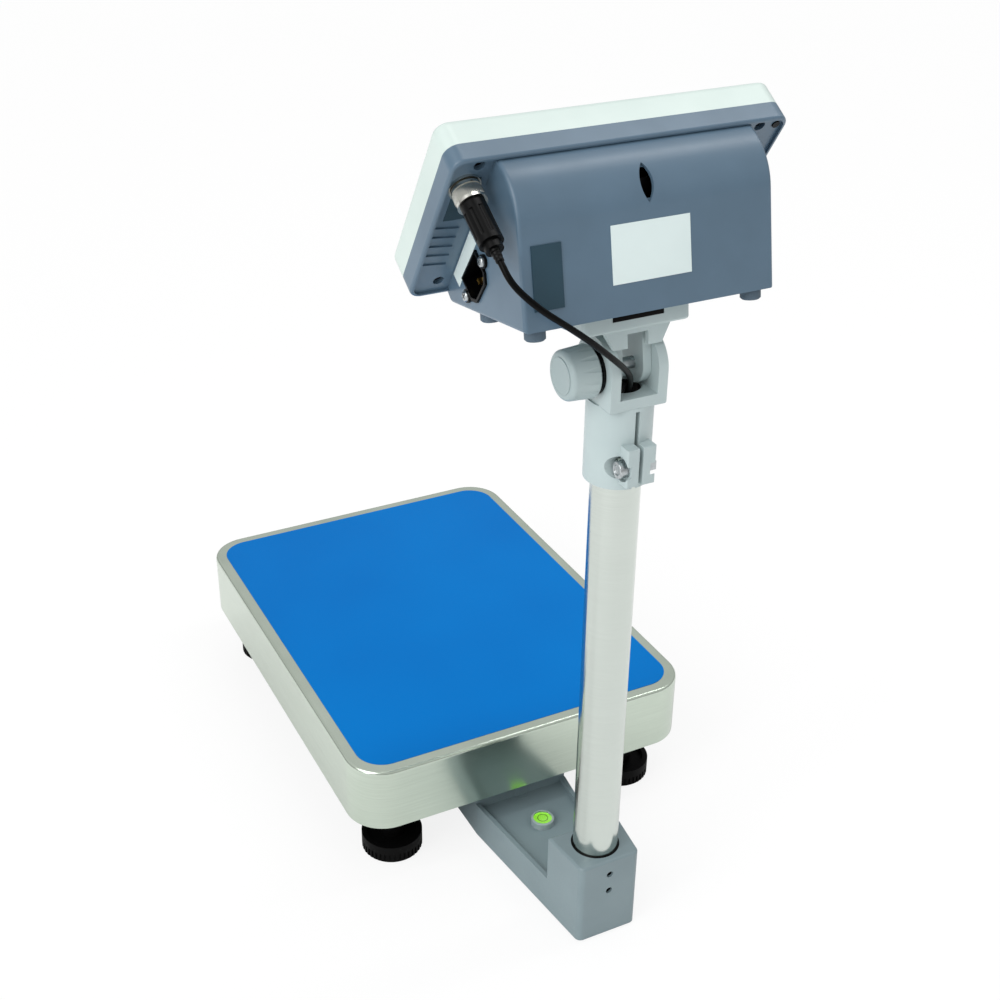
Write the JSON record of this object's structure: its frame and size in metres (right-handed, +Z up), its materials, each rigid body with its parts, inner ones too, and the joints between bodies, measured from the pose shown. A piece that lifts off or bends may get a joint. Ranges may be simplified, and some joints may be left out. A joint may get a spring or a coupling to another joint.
{
  "type": "platform scale",
  "caption": "Bench platform scale: steel pan on a levelled base frame with a load cell, column at the rear and an indicator head on a clamped tilting fork.",
  "frame": {"origin": "middle of the whole scale's outline, on the floor under the feet", "axes": "+Z up, front of the platform towards -Y, column and indicator towards +Y"},
  "size_m": [0.3, 0.537, 0.6273],
  "materials": {
    "stainless_sheet": "satin brushed",
    "blue_film": "thin plastic film",
    "rubber": "matt",
    "frame_paint": "semi-gloss",
    "cell_aluminium": "machined",
    "zinc_steel": "zinc plated",
    "black_steel": "black oxide",
    "bracket_paint": "cast, painted grey",
    "level_body": "moulded",
    "level_liquid": "tinted liquid",
    "clear_lens": "clear",
    "stainless_tube": "ground",
    "fork_paint": "cast, painted light grey",
    "black_plastic": "moulded",
    "grey_plastic": "moulded nylon",
    "brass": "turned",
    "housing_abs": "fine texture",
    "bezel_abs": "smooth",
    "overlay_film": "printed film",
    "window": "clear acrylic",
    "lcd": "display glass and frame",
    "board": "printed circuit board",
    "battery_case": "moulded",
    "iron_core": "laminated",
    "socket_metal": "nickel plated",
    "label_white": "blank label",
    "key_plastic": "moulded",
    "cable_jacket": "PVC jacket"
  },
  "bodies": {
    "base": {"base_frame": "frame_paint", "stud_jam_nuts": "zinc_steel", "overload_stops": "zinc_steel", "load_cell": "cell_aluminium", "load_cell_spacers": "cell_aluminium", "load_cell_bolts": "zinc_steel", "top_frame": "frame_paint", "pan_pads": "rubber", "column_bracket": "bracket_paint", "bracket_bolts": "zinc_steel", "level_cup": "level_body", "level_fluid": "level_liquid", "level_lens": "clear_lens", "column_tube": "stainless_tube", "column_seal": "rubber", "column_set_screws": "black_steel", "column_cable": "cable_jacket"},
    "pan": {"platform_pan": "stainless_sheet", "pan_film": "blue_film"},
    "fork": {"tilt_fork": "fork_paint", "clamp_bolt": "zinc_steel", "pivot_bolt": "zinc_steel", "friction_washer": "black_plastic"},
    "indicator": {"indicator_bracket": "fork_paint", "bracket_screws": "zinc_steel", "rear_housing": "housing_abs", "front_bezel": "bezel_abs", "front_overlay": "overlay_film", "display_window": "window", "lcd_module": "lcd", "main_board": "board", "battery": "battery_case", "transformer": "iron_core", "housing_screws": "zinc_steel", "housing_feet": "rubber", "mains_inlet": "black_plastic", "inlet_pins": "brass", "inlet_screws": "zinc_steel", "signal_socket": "socket_metal", "plug_shell": "black_plastic", "blank_labels": "label_white", "cover_plates": "housing_abs", "signal_cable": "cable_jacket"},
    "knob_thread": {"knob_insert": "brass"},
    "knob": {"tilt_knob": "grey_plastic"},
    "plug_nut": {"coupling_nut": "zinc_steel"},
    "key_1": {"key_1": "key_plastic"},
    "key_2": {"key_2": "key_plastic"},
    "key_3": {"key_3": "key_plastic"},
    "key_4": {"key_4": "key_plastic"},
    "key_5": {"key_5": "key_plastic"},
    "thread_rear_left": {"stud_rear_left": "zinc_steel"},
    "foot_rear_left": {"foot_rear_left": "rubber"},
    "thread_rear_right": {"stud_rear_right": "zinc_steel"},
    "foot_rear_right": {"foot_rear_right": "rubber"},
    "thread_front_left": {"stud_front_left": "zinc_steel"},
    "foot_front_left": {"foot_front_left": "rubber"},
    "thread_front_right": {"stud_front_right": "zinc_steel"},
    "foot_front_right": {"foot_front_right": "rubber"}
  },
  "joints": [
    {"name": "pan_lift", "type": "slide", "parent": "base", "child": "pan", "axis": [0, 0, 1], "range_m": [0, 0.06]},
    {"name": "head_swivel", "type": "hinge", "parent": "base", "child": "fork", "pos_m": [0, 0.22953, 0.44], "axis": [0, 0, 1], "range_deg": [-175, 175]},
    {"name": "head_tilt", "type": "hinge", "parent": "fork", "child": "indicator", "pos_m": [0, 0.22953, 0.4695], "axis": [1, 0, 0], "range_deg": [-21, 21], "deforming": ["signal_cable"]},
    {"name": "knob_travel", "type": "slide", "parent": "fork", "child": "knob_thread", "axis": [1, 0, 0], "range_m": [0, 0.0025]},
    {"name": "knob_turn", "type": "hinge", "parent": "knob_thread", "child": "knob", "pos_m": [0.036, 0.22953, 0.4695], "axis": [1, 0, 0], "range_deg": [0, 720]},
    {"name": "plug_nut_turn", "type": "hinge", "parent": "indicator", "child": "plug_nut", "pos_m": [0.1015, 0.21769, 0.5883], "axis": [0, 0.8396, -0.5432], "range_deg": [0, 360]},
    {"name": "key_1_press", "type": "slide", "parent": "indicator", "child": "key_1", "axis": [0, 0.8396, -0.5432], "range_m": [0, 0.0006], "stiffness_N_per_m": 800, "springref_m": -0.0004},
    {"name": "key_2_press", "type": "slide", "parent": "indicator", "child": "key_2", "axis": [0, 0.8396, -0.5432], "range_m": [0, 0.0006], "stiffness_N_per_m": 800, "springref_m": -0.0004},
    {"name": "key_3_press", "type": "slide", "parent": "indicator", "child": "key_3", "axis": [0, 0.8396, -0.5432], "range_m": [0, 0.0006], "stiffness_N_per_m": 800, "springref_m": -0.0004},
    {"name": "key_4_press", "type": "slide", "parent": "indicator", "child": "key_4", "axis": [0, 0.8396, -0.5432], "range_m": [0, 0.0006], "stiffness_N_per_m": 800, "springref_m": -0.0004},
    {"name": "key_5_press", "type": "slide", "parent": "indicator", "child": "key_5", "axis": [0, 0.8396, -0.5432], "range_m": [0, 0.0006], "stiffness_N_per_m": 800, "springref_m": -0.0004},
    {"name": "level_travel_rear_left", "type": "slide", "parent": "base", "child": "thread_rear_left", "axis": [0, 0, -1], "range_m": [0, 0.012]},
    {"name": "foot_turn_rear_left", "type": "hinge", "parent": "thread_rear_left", "child": "foot_rear_left", "pos_m": [0.1089, 0.08894, 0.01], "axis": [0, 0, -1], "range_deg": [0, 2880]},
    {"name": "level_travel_rear_right", "type": "slide", "parent": "base", "child": "thread_rear_right", "axis": [0, 0, -1], "range_m": [0, 0.012]},
    {"name": "foot_turn_rear_right", "type": "hinge", "parent": "thread_rear_right", "child": "foot_rear_right", "pos_m": [-0.1089, 0.08894, 0.01], "axis": [0, 0, -1], "range_deg": [0, 2880]},
    {"name": "level_travel_front_left", "type": "slide", "parent": "base", "child": "thread_front_left", "axis": [0, 0, -1], "range_m": [0, 0.012]},
    {"name": "foot_turn_front_left", "type": "hinge", "parent": "thread_front_left", "child": "foot_front_left", "pos_m": [0.1089, -0.22246, 0.01], "axis": [0, 0, -1], "range_deg": [0, 2880]},
    {"name": "level_travel_front_right", "type": "slide", "parent": "base", "child": "thread_front_right", "axis": [0, 0, -1], "range_m": [0, 0.012]},
    {"name": "foot_turn_front_right", "type": "hinge", "parent": "thread_front_right", "child": "foot_front_right", "pos_m": [-0.1089, -0.22246, 0.01], "axis": [0, 0, -1], "range_deg": [0, 2880]}
  ],
  "couplings": [
    {"joint": "knob_turn", "follows": "knob_travel", "rad_per_m": 5026.5},
    {"joint": "foot_turn_rear_left", "follows": "level_travel_rear_left", "rad_per_m": 4188.8},
    {"joint": "foot_turn_rear_right", "follows": "level_travel_rear_right", "rad_per_m": 4188.8},
    {"joint": "foot_turn_front_left", "follows": "level_travel_front_left", "rad_per_m": 4188.8},
    {"joint": "foot_turn_front_right", "follows": "level_travel_front_right", "rad_per_m": 4188.8}
  ]
}
